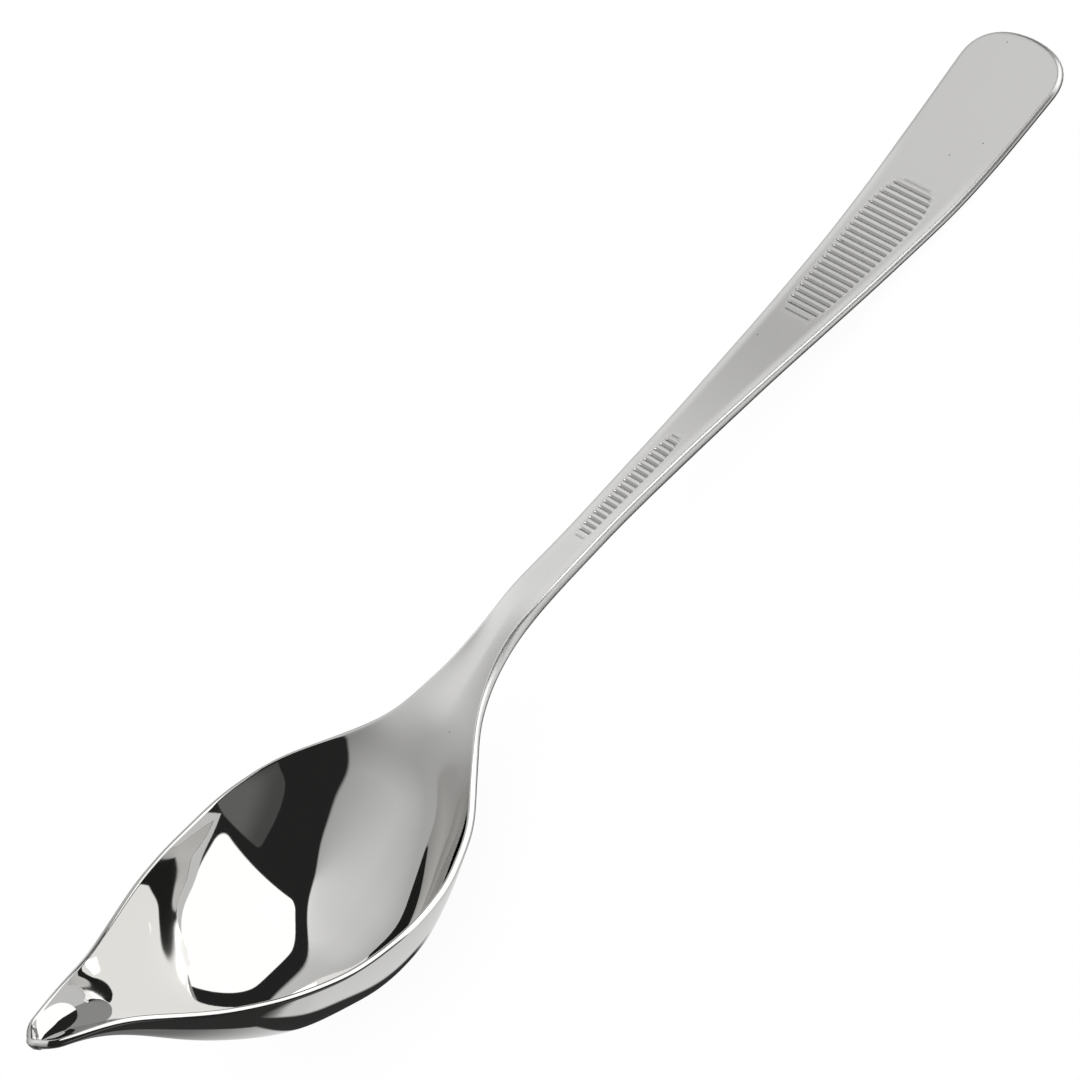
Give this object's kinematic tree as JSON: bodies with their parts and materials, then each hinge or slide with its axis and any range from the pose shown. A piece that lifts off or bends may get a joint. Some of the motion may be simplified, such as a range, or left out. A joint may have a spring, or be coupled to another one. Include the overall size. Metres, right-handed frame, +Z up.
{
  "type": "saucier spoon",
  "caption": "One-piece steel saucier spoon: deep bowl drawn out to a raised pouring spout, slim cranked handle with two pressed rib patches, for drizzling sauce.",
  "frame": {"origin": "middle of the length and width, on the surface that the spoon lies on", "axes": "+X from the spout tip to the handle end, +Y across the bowl, +Z up"},
  "size_m": [0.204, 0.0464, 0.0389],
  "materials": {
    "stainless_steel": "mirror polished inside the bowl, satin on the handle"
  },
  "bodies": {
    "root": {"spoon": "stainless_steel"}
  },
  "joints": []
}
